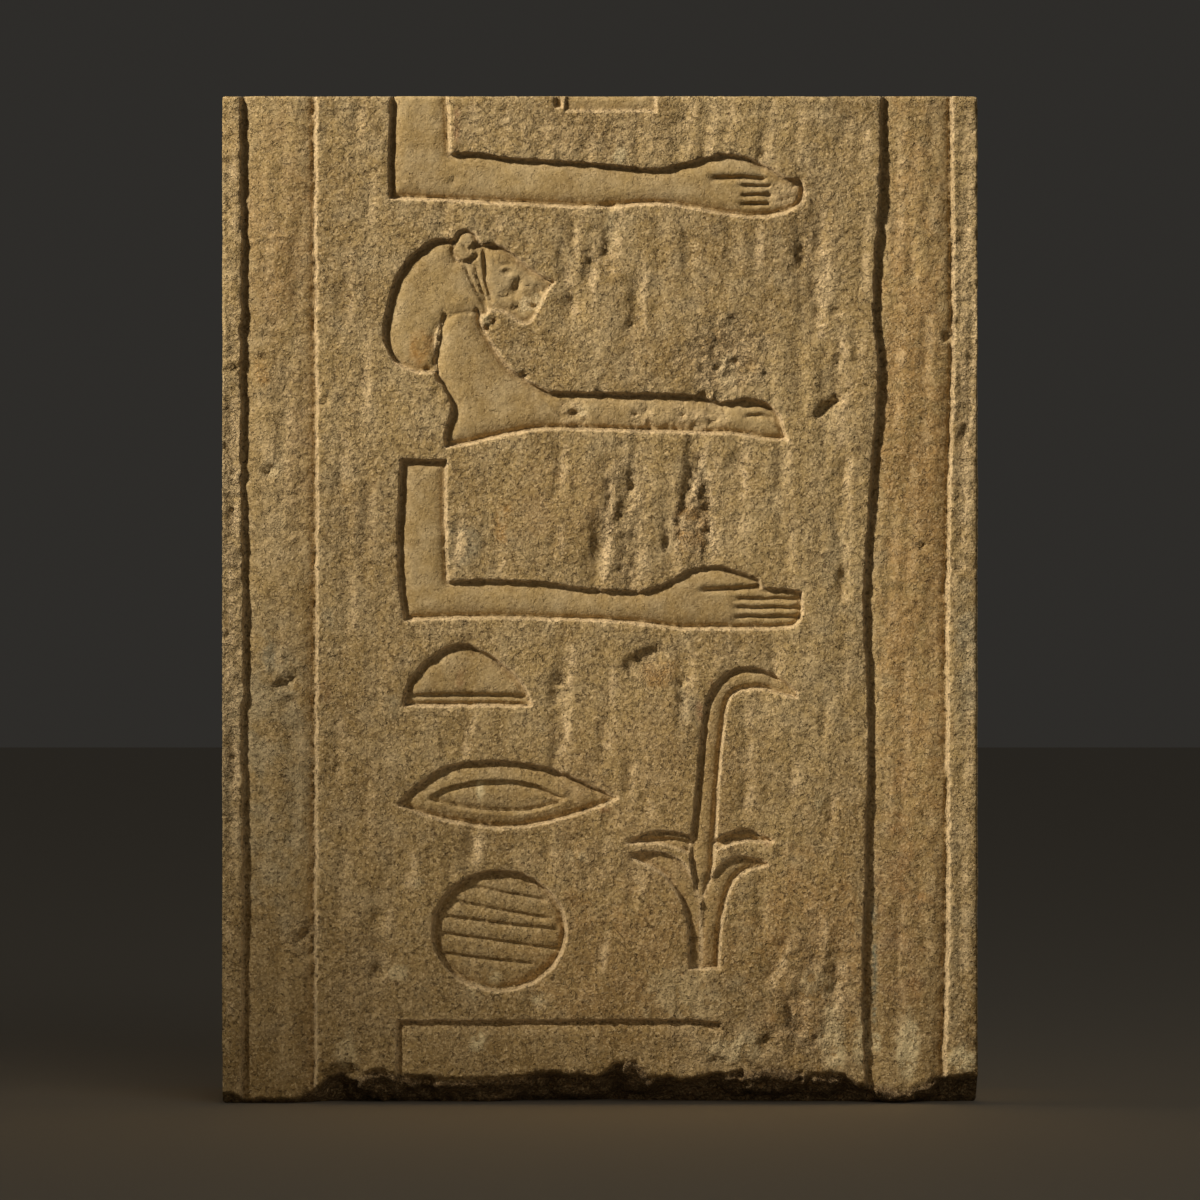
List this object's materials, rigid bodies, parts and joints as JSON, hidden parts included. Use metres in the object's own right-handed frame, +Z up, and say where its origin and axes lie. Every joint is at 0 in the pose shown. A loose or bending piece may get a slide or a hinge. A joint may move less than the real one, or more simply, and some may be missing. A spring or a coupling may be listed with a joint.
{
  "type": "hieroglyphic relief",
  "caption": "Upright sandstone relief block: forearms, a lion's forepart, a loaf, a mouth, a sieve, a sedge plant and a basin sunk into its face between upright bands.",
  "frame": {"origin": "middle of the underside, at the centre of the block's footprint", "axes": "+Z up the block, -Y out of the carved face, +X to the right as the carved face is looked at"},
  "size_m": [0.378, 0.12, 0.504],
  "materials": {
    "stone": "matte"
  },
  "bodies": {
    "root": {"relief_block": "stone"}
  },
  "joints": []
}
